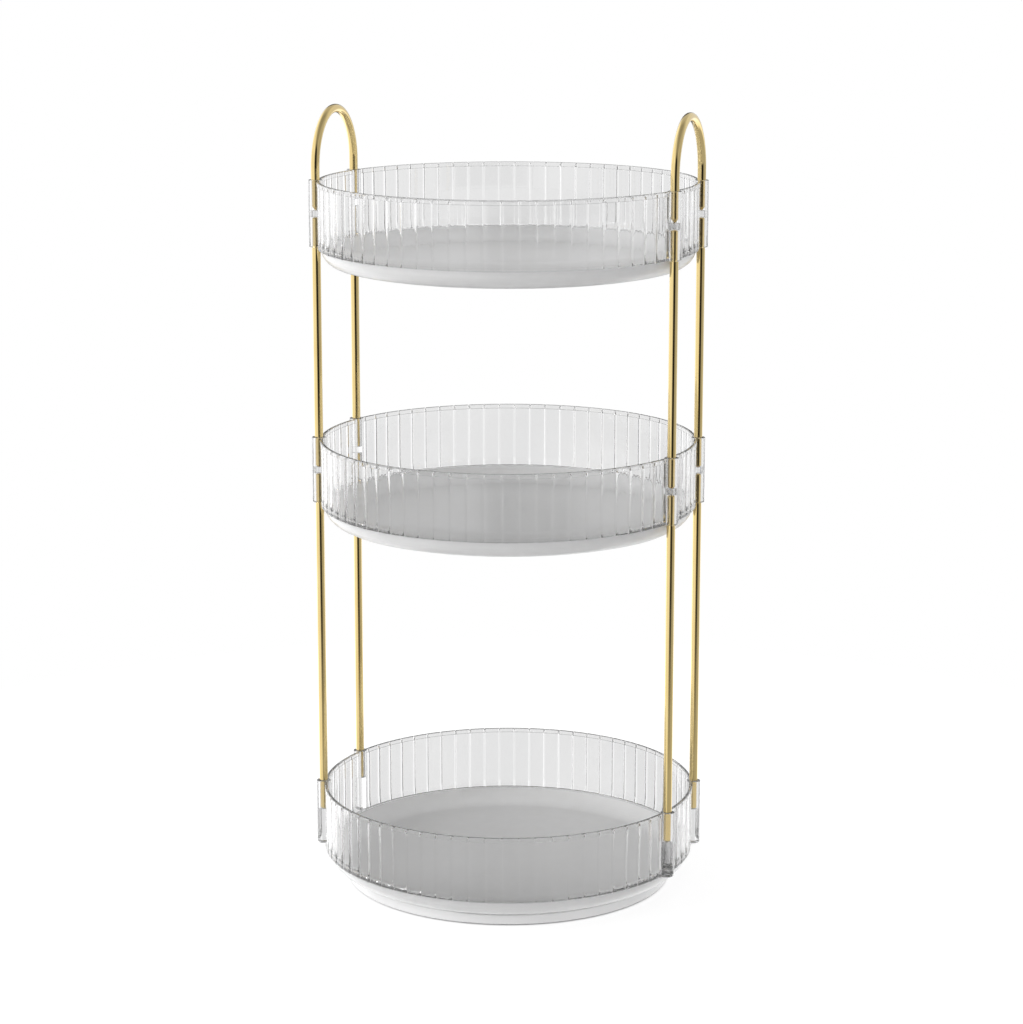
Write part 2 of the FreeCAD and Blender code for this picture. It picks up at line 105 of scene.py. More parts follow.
class Zone(Enum):
    """What a station of the tray's section belongs to."""

    PLAIN = "plain"
    FLUTED = "fluted"
    NOTCHED = "notched"
    RIDGED = "ridged"


class Element(Enum):
    """The elements that are selected in edit mode."""

    VERTEX = "VERT"
    EDGE = "EDGE"


# ----------------------------------------------------------------------------
# Shader maths


class Signal:
    """A number that varies over a surface, with arithmetic that adds Math nodes."""

    def __init__(self, graph: "Graph", socket: bpy.types.NodeSocket) -> None:
        """Wrap a socket.

        Args:
            graph: the node tree that the socket is in.
            socket: an output that gives a number.
        """
        self.graph = graph
        self.socket = socket

    def _math(self, operation: str, first: object, second: object) -> "Signal":
        """Add one Math node.

        Args:
            operation: the node's operation.
            first: its first value, a number or a Signal.
            second: its second value, a number or a Signal.

        Returns:
            The result as a Signal.
        """
        node = self.graph.node("ShaderNodeMath", {"operation": operation}, {0: first, 1: second})
        return Signal(self.graph, node.outputs[0])

    def __add__(self, other: object) -> "Signal":
        """The sum."""
        return self._math("ADD", self, other)

    __radd__ = __add__

    def __sub__(self, other: object) -> "Signal":
        """The difference."""
        return self._math("SUBTRACT", self, other)

    def __rsub__(self, other: object) -> "Signal":
        """The difference from a number."""
        return self._math("SUBTRACT", other, self)

    def __mul__(self, other: object) -> "Signal":
        """The product."""
        return self._math("MULTIPLY", self, other)

    __rmul__ = __mul__

    def between(self, low: float, high: float) -> "Signal":
        """Run smoothly from 0 to 1 as this goes from low to high.

        Args:
            low: where the result is 0.
            high: where the result is 1.

        Returns:
            The smooth step as a Signal.
        """
        node = self.graph.node(
            "ShaderNodeMapRange",
            {"interpolation_type": "SMOOTHSTEP"},
            {"Value": self, "From Min": low, "From Max": high},
        )
        return Signal(self.graph, node.outputs["Result"])


class Graph:
    """The node tree of one material or of the world."""

    def __init__(self, tree: bpy.types.NodeTree) -> None:
        """Start from an empty tree.

        Args:
            tree: the tree to fill.
        """
        self.tree = tree
        tree.nodes.clear()

    def node(
        self,
        kind: str,
        settings: dict[str, object] | None = None,
        inputs: dict[object, object] | None = None,
    ) -> bpy.types.Node:
        """Add one node.

        Args:
            kind: the node's type.
            settings: its properties, which are set first.
            inputs: values or links of its sockets, by name or number.

        Returns:
            The new node.
        """
        made = self.tree.nodes.new(kind)
        for name, value in (settings or {}).items():
            setattr(made, name, value)
        for key, value in (inputs or {}).items():
            if isinstance(value, Signal):
                value = value.socket
            if isinstance(value, bpy.types.NodeSocket):
                self.tree.links.new(value, made.inputs[key])
            else:
                made.inputs[key].default_value = value
        return made

    def place(self, stretch: Place = (1.0, 1.0, 1.0)) -> bpy.types.NodeSocket:
        """The piece's own coordinates.

        Args:
            stretch: how much faster a pattern runs along each axis.

        Returns:
            The mapped coordinates.
        """
        source = self.node("ShaderNodeTexCoord")
        mapping = self.node(
            "ShaderNodeMapping", inputs={"Vector": source.outputs["Object"], "Scale": stretch}
        )
        return mapping.outputs["Vector"]

    def axes(self, vector: bpy.types.NodeSocket) -> list[Signal]:
        """The three parts of a vector.

        Args:
            vector: the socket that gives it.

        Returns:
            Its X, Y and Z.
        """
        parts = self.node("ShaderNodeSeparateXYZ", inputs={"Vector": vector})
        return [Signal(self, parts.outputs[axis]) for axis in ("X", "Y", "Z")]

    def rays(self) -> tuple[Signal, Signal, Signal]:
        """What kind of ray reaches a surface or the world.

        Returns:
            Whether the eye sees it, whether it is seen through plastic, and whether it is mirrored.
        """
        path = self.node("ShaderNodeLightPath")
        seen, through, glossy = (
            Signal(self, path.outputs[kind])
            for kind in ("Is Camera Ray", "Is Transmission Ray", "Is Glossy Ray")
        )
        return seen, through, glossy * (1 - through)

    def noise(self, scale: float, detail: float, stretch: Place = (1.0, 1.0, 1.0)) -> Signal:
        """Soft noise on the piece's own coordinates.

        Args:
            scale: how many cells in a metre.
            detail: how many finer layers.
            stretch: how much faster it runs along each axis.

        Returns:
            The noise, from 0 to 1.
        """
        node = self.node(
            "ShaderNodeTexNoise",
            inputs={"Vector": self.place(stretch), "Scale": scale, "Detail": detail},
        )
        return Signal(self, node.outputs["Fac"])

    def blend(self, share: Signal, first: Colour, second: Colour) -> bpy.types.NodeSocket:
        """Mix two colours.

        Args:
            share: 0 gives the first colour and 1 the second.
            first: the first colour.
            second: the second colour.

        Returns:
            The mixed colour.
        """
        # sockets 6 and 7 and output 2 are the Mix node's colours
        node = self.node(
            "ShaderNodeMix", {"data_type": "RGBA"}, {"Factor": share, 6: first, 7: second}
        )
        return node.outputs[2]

    def bump(self, height: Signal, strength: float, distance: float) -> bpy.types.NodeSocket:
        """A bumpy normal.

        Args:
            height: the relief, from 0 to 1.
            strength: how much of it is used.
            distance: the depth of the relief in metres.

        Returns:
            The normal.
        """
        node = self.node(
            "ShaderNodeBump",
            inputs={"Height": height, "Strength": strength, "Distance": distance},
        )
        return node.outputs["Normal"]


def rgba(red: float, green: float, blue: float) -> Colour:
    """An opaque colour."""
    return (red, green, blue, 1.0)


def blank_material(name: str) -> tuple[bpy.types.Material, Graph]:
    """Make a material without nodes.

    Args:
        name: its name.

    Returns:
        The material and its empty tree.
    """
    material = bpy.data.materials.new(name)
    material.use_nodes = True
    return material, Graph(material.node_tree)


@dataclass(frozen=True)
class ClearPlastic:
    """Clear moulded polystyrene: a glossy fluted band over a satin, milky bowl."""

    band_feet: tuple[float, ...]
    bowl_depth: float
    foot_reach: float = 2.0 * MM
    bowl_blur: float = 0.3 * MM
    index: float = 1.52
    tint: Colour = rgba(0.99, 0.99, 0.99)
    clouded: Colour = rgba(0.975, 0.976, 0.978)
    gloss: float = 0.004
    bowl_roughness: float = 0.28
    milk: Colour = rgba(0.93, 0.93, 0.93)
    milk_share: float = 0.60
    milk_roughness: float = 0.2
    depth_tint: Colour = rgba(0.80, 0.80, 0.80)
    depth_density: float = 65.0
    flow_scale: float = 28.0
    flow_stretch: Place = (1.0, 1.0, 0.35)
    flow_span: Span = (0.35, 0.75)
    flow_strength: float = 0.35
    flow_depth: float = 0.06 * MM
    haze_scale: float = 140.0
    haze_span: Span = (0.55, 0.9)
    haze_roughness: float = 0.03
    milk_span: Span = (0.3, 0.8)

    def build(self) -> bpy.types.Material:
        """Make the material.

        Returns:
            A mix of clear and milky plastic that soaks up a little light with depth.
        """
        material, graph = blank_material(Slot.CLEAR.value)
        bowl = self._bowl(graph)
        flow = graph.noise(self.flow_scale, detail=1.0, stretch=self.flow_stretch)
        haze = graph.noise(self.haze_scale, detail=3.0)
        gloss = haze.between(*self.haze_span) * self.haze_roughness + self.gloss
        relief = graph.bump(flow, self.flow_strength, self.flow_depth)
        clear = {
            "Base Color": graph.blend(flow.between(*self.flow_span), self.tint, self.clouded),
            "Roughness": gloss + bowl * self.bowl_roughness,
            "Transmission Weight": 1.0,
            "IOR": self.index,
            "Normal": relief,
        }
        milky = {
            "Base Color": graph.blend(haze.between(*self.milk_span), self.milk, self.clouded),
            "Roughness": gloss + self.milk_roughness,
            "IOR": self.index,
            "Normal": relief,
        }
        looks = [graph.node("ShaderNodeBsdfPrincipled", inputs=look) for look in (clear, milky)]
        mix = graph.node(
            "ShaderNodeMixShader",
            inputs={0: bowl * self.milk_share, 1: looks[0].outputs[0], 2: looks[1].outputs[0]},
        )
        depth = graph.node(
            "ShaderNodeVolumeAbsorption",
            inputs={"Color": self.depth_tint, "Density": self.depth_density},
        )
        graph.node(
            "ShaderNodeOutputMaterial",
            inputs={"Surface": mix.outputs[0], "Volume": depth.outputs[0]},
        )
        return material

    def _bowl(self, graph: Graph) -> Signal:
        """Where a tray's bowl is.

        Args:
            graph: the material's tree.

        Returns:
            1 on the bowl and floor of each tray, and 0 on its band.
        """
        height = graph.axes(graph.place())[2]
        bowl = None
        for foot in self.band_feet:
            below = foot - self.bowl_depth - self.foot_reach
            window = height.between(below - self.bowl_blur, below)
            window = window * (1 - height.between(foot - self.bowl_blur, foot))
            bowl = window if bowl is None else bowl + window
        return bowl


@dataclass(frozen=True)
class Finish:
    """A finish that one Principled shader gives."""

    slot: Slot

    def sockets(self, graph: Graph) -> dict[str, object]:
        """What the shader's sockets get.

        Args:
            graph: the material's tree.

        Returns:
            Values and links by socket name.
        """
        raise NotImplementedError

    def build(self) -> bpy.types.Material:
        """Make the material.

        Returns:
            The material, named after its slot.
        """
        material, graph = blank_material(self.slot.value)
        shader = graph.node("ShaderNodeBsdfPrincipled", inputs=self.sockets(graph))
        graph.node("ShaderNodeOutputMaterial", inputs={"Surface": shader.outputs["BSDF"]})
        return material


@dataclass(frozen=True)
class FrostedPlastic(Finish):
    """Milky moulded plastic with a fine satin grain."""

    slot: Slot = Slot.FROSTED
    pale: Colour = rgba(0.90, 0.90, 0.90)
    shaded: Colour = rgba(0.865, 0.865, 0.868)
    cloud_scale: float = 22.0
    cloud_span: Span = (0.3, 0.7)
    roughness: float = 0.26
    cloud_roughness: float = 0.08
    milkiness: float = 0.25
    light_reach: float = 4.0 * MM
    index: float = 1.5
    grain_scale: float = 2600.0
    grain_strength: float = 0.25
    grain_depth: float = 0.03 * MM

    def sockets(self, graph: Graph) -> dict[str, object]:
        """What the shader's sockets get.

        Args:
            graph: the material's tree.

        Returns:
            Values and links by socket name.
        """
        cloud = graph.noise(self.cloud_scale, detail=2.0)
        grain = graph.noise(self.grain_scale, detail=2.0)
        return {
            "Base Color": graph.blend(cloud.between(*self.cloud_span), self.pale, self.shaded),
            "Roughness": cloud * self.cloud_roughness + self.roughness,
            "Subsurface Weight": self.milkiness,
            "Subsurface Radius": (self.light_reach, self.light_reach, self.light_reach),
            "Subsurface Scale": 1.0,
            "IOR": self.index,
            "Normal": graph.bump(grain, self.grain_strength, self.grain_depth),
        }


@dataclass(frozen=True)
class PaleGold(Finish):
    """Polished pale gold plating on drawn steel rod."""

    slot: Slot = Slot.GOLD
    bright: Colour = rgba(0.845, 0.67, 0.32)
    deep: Colour = rgba(0.815, 0.63, 0.285)
    tone_scale: float = 35.0
    tone_span: Span = (0.3, 0.7)
    roughness: float = 0.08
    wear_scale: float = 90.0
    wear_roughness: float = 0.03
    wear_strength: float = 0.1
    wear_depth: float = 0.01 * MM

    def sockets(self, graph: Graph) -> dict[str, object]:
        """What the shader's sockets get.

        Args:
            graph: the material's tree.

        Returns:
            Values and links by socket name.
        """
        tone = graph.noise(self.tone_scale, detail=2.0)
        wear = graph.noise(self.wear_scale, detail=1.0)
        return {
            "Base Color": graph.blend(tone.between(*self.tone_span), self.bright, self.deep),
            "Metallic": 1.0,
            "Roughness": wear * self.wear_roughness + self.roughness,
            "Normal": graph.bump(wear, self.wear_strength, self.wear_depth),
        }


@dataclass(frozen=True)
class BearingSteel(Finish):
    """Ground steel of the balls, the pin and the washer."""

    slot: Slot = Slot.STEEL
    light: Colour = rgba(0.66, 0.67, 0.69)
    dark: Colour = rgba(0.52, 0.53, 0.55)
    tone_scale: float = 180.0
    roughness: float = 0.16
    tone_roughness: float = 0.18
    grain_scale: float = 3000.0
    grain_strength: float = 0.2
    grain_depth: float = 0.01 * MM

    def sockets(self, graph: Graph) -> dict[str, object]:
        """What the shader's sockets get.

        Args:
            graph: the material's tree.

        Returns:
            Values and links by socket name.
        """
        tone = graph.noise(self.tone_scale, detail=3.0)
        grain = graph.noise(self.grain_scale, detail=1.0)
        return {
            "Base Color": graph.blend(tone, self.light, self.dark),
            "Metallic": 1.0,
            "Roughness": tone * self.tone_roughness + self.roughness,
            "Normal": graph.bump(grain, self.grain_strength, self.grain_depth),
        }


@dataclass(frozen=True)
class MattePlastic(Finish):
    """Plain moulded plastic or rubber with a fine grain."""

    light: Colour
    dark: Colour
    roughness: float
    grain_depth: float
    index: float = 1.5
    cloud_scale: float = 60.0
    cloud_roughness: float = 0.1
    grain_scale: float = 1800.0
    grain_strength: float = 0.4

    def sockets(self, graph: Graph) -> dict[str, object]:
        """What the shader's sockets get.

        Args:
            graph: the material's tree.

        Returns:
            Values and links by socket name.
        """
        cloud = graph.noise(self.cloud_scale, detail=3.0)
        grain = graph.noise(self.grain_scale, detail=2.0)
        return {
            "Base Color": graph.blend(cloud, self.light, self.dark),
            "Roughness": cloud * self.cloud_roughness + self.roughness,
            "IOR": self.index,
            "Normal": graph.bump(grain, self.grain_strength, self.grain_depth),
        }


def dress(piece: bpy.types.Object, material: bpy.types.Material) -> None:
    """Put one material on all of a piece.

    Args:
        piece: the piece.
        material: its material.
    """
    if not piece.material_slots:
        piece.data.materials.append(material)
    for slot in piece.material_slots:
        slot.material = material


# ----------------------------------------------------------------------------
# Modelling


def deselect() -> None:
    """Leave nothing selected, so that the next primitive is alone."""
    for piece in bpy.context.selected_objects:
        piece.select_set(False)


def select_only(piece: bpy.types.Object) -> None:
    """Make a piece the one that operators act on.

    Args:
        piece: the piece.
    """
    deselect()
    bpy.context.view_layer.objects.active = piece
    piece.select_set(True)


@contextmanager
def editing(piece: bpy.types.Object, element: Element = Element.VERTEX) -> Iterator[None]:
    """Hold a piece in edit mode.

    Args:
        piece: the piece.
        element: what is selected while it is there.

    Yields:
        Nothing; the piece is back in object mode afterwards.
    """
    select_only(piece)
    bpy.ops.object.mode_set(mode="EDIT")
    bpy.ops.mesh.select_mode(type=element.value)
    yield
    bpy.ops.object.mode_set(mode="OBJECT")


def pick(piece: bpy.types.Object, test: Test) -> None:
    """In edit mode, select the vertices in some place, and the edges and faces they span.

    Args:
        piece: the piece that is edited.
        test: says from a vertex's place whether it is taken.
    """
    mesh = bmesh.from_edit_mesh(piece.data)
    for part in (*mesh.faces, *mesh.edges, *mesh.verts):
        part.select = False
    for vertex in mesh.verts:
        if test(vertex.co):
            vertex.select = True
    for part in (*mesh.edges, *mesh.faces):
        if all(vertex.select for vertex in part.verts):
            part.select = True
    bmesh.update_edit_mesh(piece.data, loop_triangles=False, destructive=False)


def finished(name: str) -> bpy.types.Object:
    """Name the active piece and put its place into its mesh.

    Args:
        name: the piece's name.

    Returns:
        The piece.
    """
    piece = bpy.context.active_object
    bpy.ops.object.transform_apply(location=True, rotation=True, scale=True)
    piece.name = name
    piece.data.name = name
    return piece


def round_bar(name: str, radius: float, low: Place, height: float, sides: int) -> bpy.types.Object:
    """An upright round bar.

    Args:
        name: the piece's name.
        radius: its radius.
        low: the middle of its lower end.
        height: its height.
        sides: how many sides it has.

    Returns:
        The bar.
    """
    deselect()
    middle = (low[0], low[1], low[2] + height / 2)
    bpy.ops.mesh.primitive_cylinder_add(
        vertices=sides, radius=radius, depth=height, end_fill_type="NGON", location=middle
    )
    return finished(name)


def joined(pieces: Sequence[bpy.types.Object], name: str) -> bpy.types.Object:
    """Join pieces into one mesh.

    Args:
        pieces: the pieces.
        name: the name of the result.

    Returns:
        The joined piece.
    """
    select_only(pieces[0])
    for piece in pieces:
        piece.select_set(True)
    bpy.ops.object.join()
    pieces[0].name = name
    return pieces[0]


def carve(piece: bpy.types.Object, tool: bpy.types.Object, operation: str) -> None:
    """Add or cut a form with a Boolean that is applied.

    Args:
        piece: the piece that changes.
        tool: the form, which is removed afterwards.
        operation: UNION or DIFFERENCE.
    """
    select_only(piece)
    boolean = piece.modifiers.new("carve", "BOOLEAN")
    boolean.operation = operation
    boolean.solver = "MANIFOLD"
    boolean.object = tool
    bpy.ops.object.modifier_apply(modifier=boolean.name)
    bpy.data.objects.remove(tool)


def twin(piece: bpy.types.Object, name: str) -> bpy.types.Object:
    """Copy a piece with a mesh of its own.

    Args:
        piece: the piece to copy.
        name: the copy's name.

    Returns:
        The copy.
    """
    copy = piece.copy()
    copy.data = piece.data.copy()
    copy.name = name
    copy.data.name = name
    bpy.context.scene.collection.objects.link(copy)
    return copy


def arc(centre: Span, radius: float, start: float, stop: float, steps: int) -> list[Span]:
    """Points on an arc in the section's plane.

    Args:
        centre: its centre.
        radius: its radius.
        start: the angle of its first point, in degrees.
        stop: the angle of its last point, in degrees.
        steps: how many chords it has.

    Returns:
        The points, ends included.
    """
    points = []
    for step in range(steps + 1):
        angle = math.radians(start + (stop - start) * step / steps)
        across = centre[0] + radius * math.cos(angle)
        up = centre[1] + radius * math.sin(angle)
        points.append((across, up))
    return points


@dataclass(frozen=True)
class Station:
    """One point of the tray's section, at the strip between two flutes."""

    radius: float
    height: float
    zone: Zone = Zone.PLAIN


@dataclass
class TrayMould:
    """The shape that the three trays share. Its Z = 0 is the lower end of the fluted band."""

    crest_radius: float = 121.2 * MM - SKIN
    flute_count: int = 72
    flute_depth: float = 0.42 * MM
    flute_fullness: float = 7.0
    ridge_height: float = 0.16 * MM
    ridge_top: float = 1.2 * MM
    ridge_angle: float = 48.0
    ridge_steps: int = 12
    rim_step: float = 0.22 * MM
    wall: float = 2.2 * MM
    band: float = 42.6 * MM
    rim: float = 2.8 * MM
    rim_round: float = 0.8 * MM
    rim_steps: int = 4
    notch_depth: float = 1.2 * MM
    notch_half: float = 0.14
    edge_round: float = 0.3 * MM
    # the middle of a quarter round stands this share of its radius off both sides
    round_middle: float = 0.3
    round_segments: int = 4
    bowl_depth: float = 11.4 * MM
    bowl_inset: float = 2.1 * MM
    bowl_radius: float = 13.0 * MM
    bowl_steps: int = 8
    bowl_inner_radius: float = 16.0 * MM
    floor_angle: float = 54.0
    floor_steps: int = 5
    floor: float = 2.4 * MM
    foot_ring_radius: float = 101.5 * MM
    foot_ring_width: float = 2.5 * MM
    foot_ring_height: float = 1.2 * MM
    pillar_radius: float = 122.0 * MM
    pillar_angle: float = 16.8
    sleeve_radius: float = 4.5 * MM - SKIN
    sleeve_round: float = 0.5 * MM
    sleeve_sides: int = 64
    socket_radius: float = 2.35 * MM
    socket_depth: float = 19.4 * MM
    socket_sides: int = 48
    hair: float = 0.02 * MM
    speck: float = 0.002 * MM
    # the columns beside a strip, in degrees from its middle
    strips: tuple[float, ...] = (0.10, 0.22, 0.34, 0.46, 0.60, 0.82, 1.20, 2.50)

    def section(self) -> list[Station]:
        """The closed wall from the middle of the underside round to the middle of the floor.

        Returns:
            The stations in order.
        """
        under = -self.bowl_depth
        ring_inner = self.foot_ring_radius - self.foot_ring_width
        inner = self.crest_radius - self.wall
        ledge = self.band - self.rim
        rim_side = self.band - self.rim_round
        bowl_top = self.crest_radius - self.bowl_inset
        run = math.sqrt(self.bowl_radius**2 - (self.bowl_radius - self.bowl_depth) ** 2)
        bowl_centre = (bowl_top - run, self.bowl_radius - self.bowl_depth)
        bowl_end = math.degrees(math.atan2(-bowl_centre[1], run))
        floor = under + self.floor
        inner_centre = (inner - self.bowl_inner_radius, floor + self.bowl_inner_radius)
        edge = self.edge_round
        near = edge * self.round_middle
        plain = [
            (0.0, under),
            (ring_inner, under),
            (ring_inner, under - self.foot_ring_height),
            (self.foot_ring_radius, under - self.foot_ring_height),
            (self.foot_ring_radius, under),
            *arc(bowl_centre, self.bowl_radius, -90.0, bowl_end, self.bowl_steps),
        ]
        stations = [Station(*point) for point in plain]
        crest = self.crest_radius - self.rim_step
        fluted = [
            (crest - edge, 0.0),
            (crest - near, near),
            (crest, edge),
            (crest, ledge - edge),
            (crest, ledge - self.rim_step),
        ]
        stations += [Station(*point, Zone.FLUTED) for point in fluted]
        notched = [(self.crest_radius, ledge), (self.crest_radius, rim_side - edge)]
        stations += [Station(*point, Zone.NOTCHED) for point in notched]
        outer_rim = (self.crest_radius - self.rim_round, rim_side)
        inner_rim = (inner + self.rim_round, rim_side)
        plain = [
            *arc(outer_rim, self.rim_round, 0.0, 90.0, self.rim_steps),
            *arc(inner_rim, self.rim_round, 90.0, 180.0, self.rim_steps),
        ]
        stations += [Station(*point) for point in plain]
        ridged = [
            (inner, rim_side - edge),
            (inner, rim_side - self.ridge_top),
            *arc(inner_centre, self.bowl_inner_radius, 0.0, -self.ridge_angle, self.ridge_steps),
        ]
        stations += [Station(*point, Zone.RIDGED) for point in ridged]
        plain = [
            *arc(inner_centre, self.bowl_inner_radius, -self.floor_angle, -90.0, self.floor_steps),
            (0.0, floor),
        ]
        stations += [Station(*point) for point in plain]
        return stations

    def turns(self) -> list[float]:
        """The columns across one flute, in degrees from the strip where it starts."""
        pitch = 360.0 / self.flute_count
        return [0.0, *self.strips, *(pitch - turn for turn in reversed(self.strips[:-1])), pitch]

    def swell(self, turn: float) -> float:
        """How far the wall is bent inwards between two flutes.

        Args:
            turn: degrees from the middle of the nearest strip between two flutes.

        Returns:
            The share, from 0 on a flute's crest to 1 on the strip.
        """
        pitch_half = 180.0 / self.flute_count
        share = min(1.0, (pitch_half - turn) / (pitch_half - self.strips[0]))
        return share**self.flute_fullness

    def notch(self, turn: float) -> float:
        """How far the rim is notched above the strip between two flutes.

        Args:
            turn: degrees from the middle of the nearest strip between two flutes.

        Returns:
            The share, from 1 on the strip to 0 beside it.
        """
        return max(0.0, min(1.0, 1.0 - (turn - self.strips[0]) / self.notch_half))

    def draw_section(self, stations: Sequence[Station]) -> bpy.types.Object:
        """Draw the section as a chain of edges in the XZ plane.

        Args:
            stations: the section.

        Returns:
            The chain.
        """
        deselect()
        bpy.ops.mesh.primitive_plane_add(size=self.wall)
        chain = bpy.context.active_object
        with editing(chain):
            bpy.ops.mesh.select_all(action="SELECT")
            bpy.ops.mesh.merge(type="CENTER")
            before = stations[0]
            bpy.ops.transform.translate(value=(before.radius, 0.0, before.height))
            for station in stations[1:]:
                step = (station.radius - before.radius, 0.0, station.height - before.height)
                bpy.ops.mesh.extrude_region_move(TRANSFORM_OT_translate={"value": step})
                before = station
        return chain

    def shape_columns(self, sector: bpy.types.Object, stations: Sequence[Station]) -> None:
        """Sink the flutes into the outside of one sector and raise the ridge on its inside.

        Args:
            sector: one turned sector of the wall.
            stations: its section.
        """
        pitch = 360.0 / self.flute_count
        inner = self.crest_radius - self.wall
        ridge_start = self.band - self.rim_round - self.ridge_top / 2
        for turn in self.turns():
            from_strip = min(turn, pitch - turn)
            sink = self.flute_depth * self.swell(from_strip)
            rise = self.ridge_height * self.swell(from_strip)
            across = Vector((math.cos(math.radians(turn)), math.sin(math.radians(turn)), 0.0))
            for station in stations:
                if station.zone is Zone.FLUTED:
                    move = -sink
                elif station.zone is Zone.NOTCHED:
                    move = -self.notch_depth * self.notch(from_strip)
                elif station.zone is Zone.RIDGED:
                    reach = inner - (rise if station.height < ridge_start else 0.0)
                    move = min(0.0, reach - station.radius)
                else:
                    continue
                if abs(move) < self.speck:
                    continue
                spot = across * station.radius + Vector((0.0, 0.0, station.height))
                pick(sector, lambda place, spot=spot: (place - spot).length < self.hair / 2)
                bpy.ops.transform.translate(value=across * move)

    def build_shell(self) -> bpy.types.Object:
        """Turn the section through one flute, shape it, and repeat it round the axis.

        Returns:
            The closed shell without sleeves.
        """
        stations = self.section()
        shell = self.draw_section(stations)
        pitch = 360.0 / self.flute_count
        turns = self.turns()
        with editing(shell):
            bpy.ops.mesh.select_all(action="SELECT")
            for before, after in zip(turns, turns[1:]):
                # a positive angle would turn clockwise
                bpy.ops.mesh.spin(
                    steps=1, angle=math.radians(before - after), center=(0, 0, 0), axis=(0, 0, 1)
                )
            self.shape_columns(shell, stations)
            bpy.ops.mesh.select_all(action="SELECT")
            bpy.ops.mesh.spin(
                steps=self.flute_count - 1,
                dupli=True,
                angle=math.radians(360.0 - pitch),
                center=(0, 0, 0),
                axis=(0, 0, 1),
            )
            bpy.ops.mesh.select_all(action="SELECT")
            bpy.ops.mesh.remove_doubles(threshold=self.speck)
            bpy.ops.mesh.normals_make_consistent(inside=False)
        shell.name = "tray_mould"
        return shell

    def pillars(self) -> list[tuple[float, float]]:
        """Where the four rods stand."""
        along = self.pillar_radius * math.sin(math.radians(self.pillar_angle))
        across = self.pillar_radius * math.cos(math.radians(self.pillar_angle))
        return [(side * across, row * along) for side in (1, -1) for row in (1, -1)]

    def round_edges(self, radius: float) -> None:
        """Round the picked edges."""
        bpy.ops.mesh.bevel(offset=radius, segments=self.round_segments, affect="EDGES")

    def sleeves(self) -> bpy.types.Object:
        """The four sleeves that hold the rods, with rounded ends.

        Returns:
            The sleeves as one mesh.
        """
        bars = []
        height = self.band - 2 * self.hair
        for x, y in self.pillars():
            low = (x, y, self.hair)
            bar = round_bar("sleeve", self.sleeve_radius, low, height, self.sleeve_sides)
            with editing(bar, Element.EDGE):
                pick(bar, lambda place: place.z < self.rim)
                self.round_edges(self.sleeve_round)
                pick(bar, lambda place: place.z > self.band - self.edge_round)
                self.round_edges(self.edge_round)
            bars.append(bar)
        return joined(bars, "sleeves")

    def drills(self, low: float, mouth_up: bool) -> bpy.types.Object:
        """The four blind holes of one end of the sleeves.

        Args:
            low: the height of their lower ends.
            mouth_up: whether they open upwards.

        Returns:
            The drills as one mesh.
        """
        bars = []
        overshoot = self.rim
        length = self.socket_depth + overshoot
        foot = low if mouth_up else low - overshoot
        blind = foot if mouth_up else foot + length
        for x, y in self.pillars():
            bar = round_bar("drill", self.socket_radius, (x, y, foot), length, self.socket_sides)
            with editing(bar, Element.EDGE):
                pick(bar, lambda place: abs(place.z - blind) < self.hair)
                self.round_edges(self.edge_round)
            bars.append(bar)
        return joined(bars, "drills")


@dataclass
class Trays:
    """The three clear trays."""

    mould: TrayMould
    material: bpy.types.Material
    # the facets stay flat, because smoothed normals send light through clear walls the wrong way
    smooth_below: float = 0.5
    names: tuple[str, ...] = ("tray_bottom", "tray_middle", "tray_top")

    def build(self) -> None:
        """Make the trays on the places of their nodes."""
        mould = self.mould
        shell = mould.build_shell()
        log.info("tray shell: %d faces", len(shell.data.polygons))
        carve(shell, mould.sleeves(), "UNION")
        carve(shell, mould.drills(mould.band - mould.socket_depth, mouth_up=True), "DIFFERENCE")
        lowest = twin(shell, "tray_bottom_clear")
        carve(shell, mould.drills(0.0, mouth_up=False), "DIFFERENCE")
        trays = [lowest, twin(shell, "tray_middle_clear"), shell]
        shell.name = "tray_top_clear"
        for tray, node in zip(trays, self.names):
            self._finish(tray, node)

    def _finish(self, tray: bpy.types.Object, node: str) -> None:
        """Put one tray in its place and dress it.

        Args:
            tray: the tray.
            node: the CAD node that it stands for.
        """
        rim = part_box(node)[1].z
        select_only(tray)
        tray.location = (0.0, 0.0, rim - self.mould.band)
        bpy.ops.object.transform_apply(location=True, rotation=True, scale=True)
        bpy.ops.object.shade_smooth_by_angle(angle=math.radians(self.smooth_below))
        dress(tray, self.material)
        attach(tray, Body.CAROUSEL.value)
        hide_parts(node)
        log.info("%s: %d faces", tray.name, len(tray.data.polygons))


@dataclass
class KeptPieces:
    """The base, its bearing, the rods and the handles, which keep their CAD shapes."""

    finishes: dict[Slot, bpy.types.Material]

    def dress_nodes(self, skipped: Sequence[str]) -> None:
        """Give every remaining CAD node the finish of its slot.

        Args:
            skipped: nodes that other pieces stand for.
        """
        for row in frame["record"]["subparts"]:
            name = row["node"]
            if name in skipped:
                continue
            dress(frame["nodes"][name], self.finishes[Slot(row["material_slot"])])
            log.info("%s: dressed as %s", name, row["material_slot"])


# ----------------------------------------------------------------------------
# Studio


@dataclass(frozen=True)
class Lamp:
    """A soft square lamp aimed at the middle of the object."""

    name: str
    place: Place
    side: float
    power: float

    def hang(self, target: Vector) -> None:
        """Add the lamp.

        Args:
            target: where it points.
        """
        data = bpy.data.lights.new(self.name, "AREA")
        data.shape = "SQUARE"
        data.size = self.side
        data.energy = self.power
        lamp = bpy.data.objects.new(self.name, data)
        lamp.visible_glossy = False
        lamp.location = self.place
        lamp.rotation_euler = (target - lamp.location).to_track_quat("-Z", "Y").to_euler()
        bpy.context.scene.collection.objects.link(lamp)


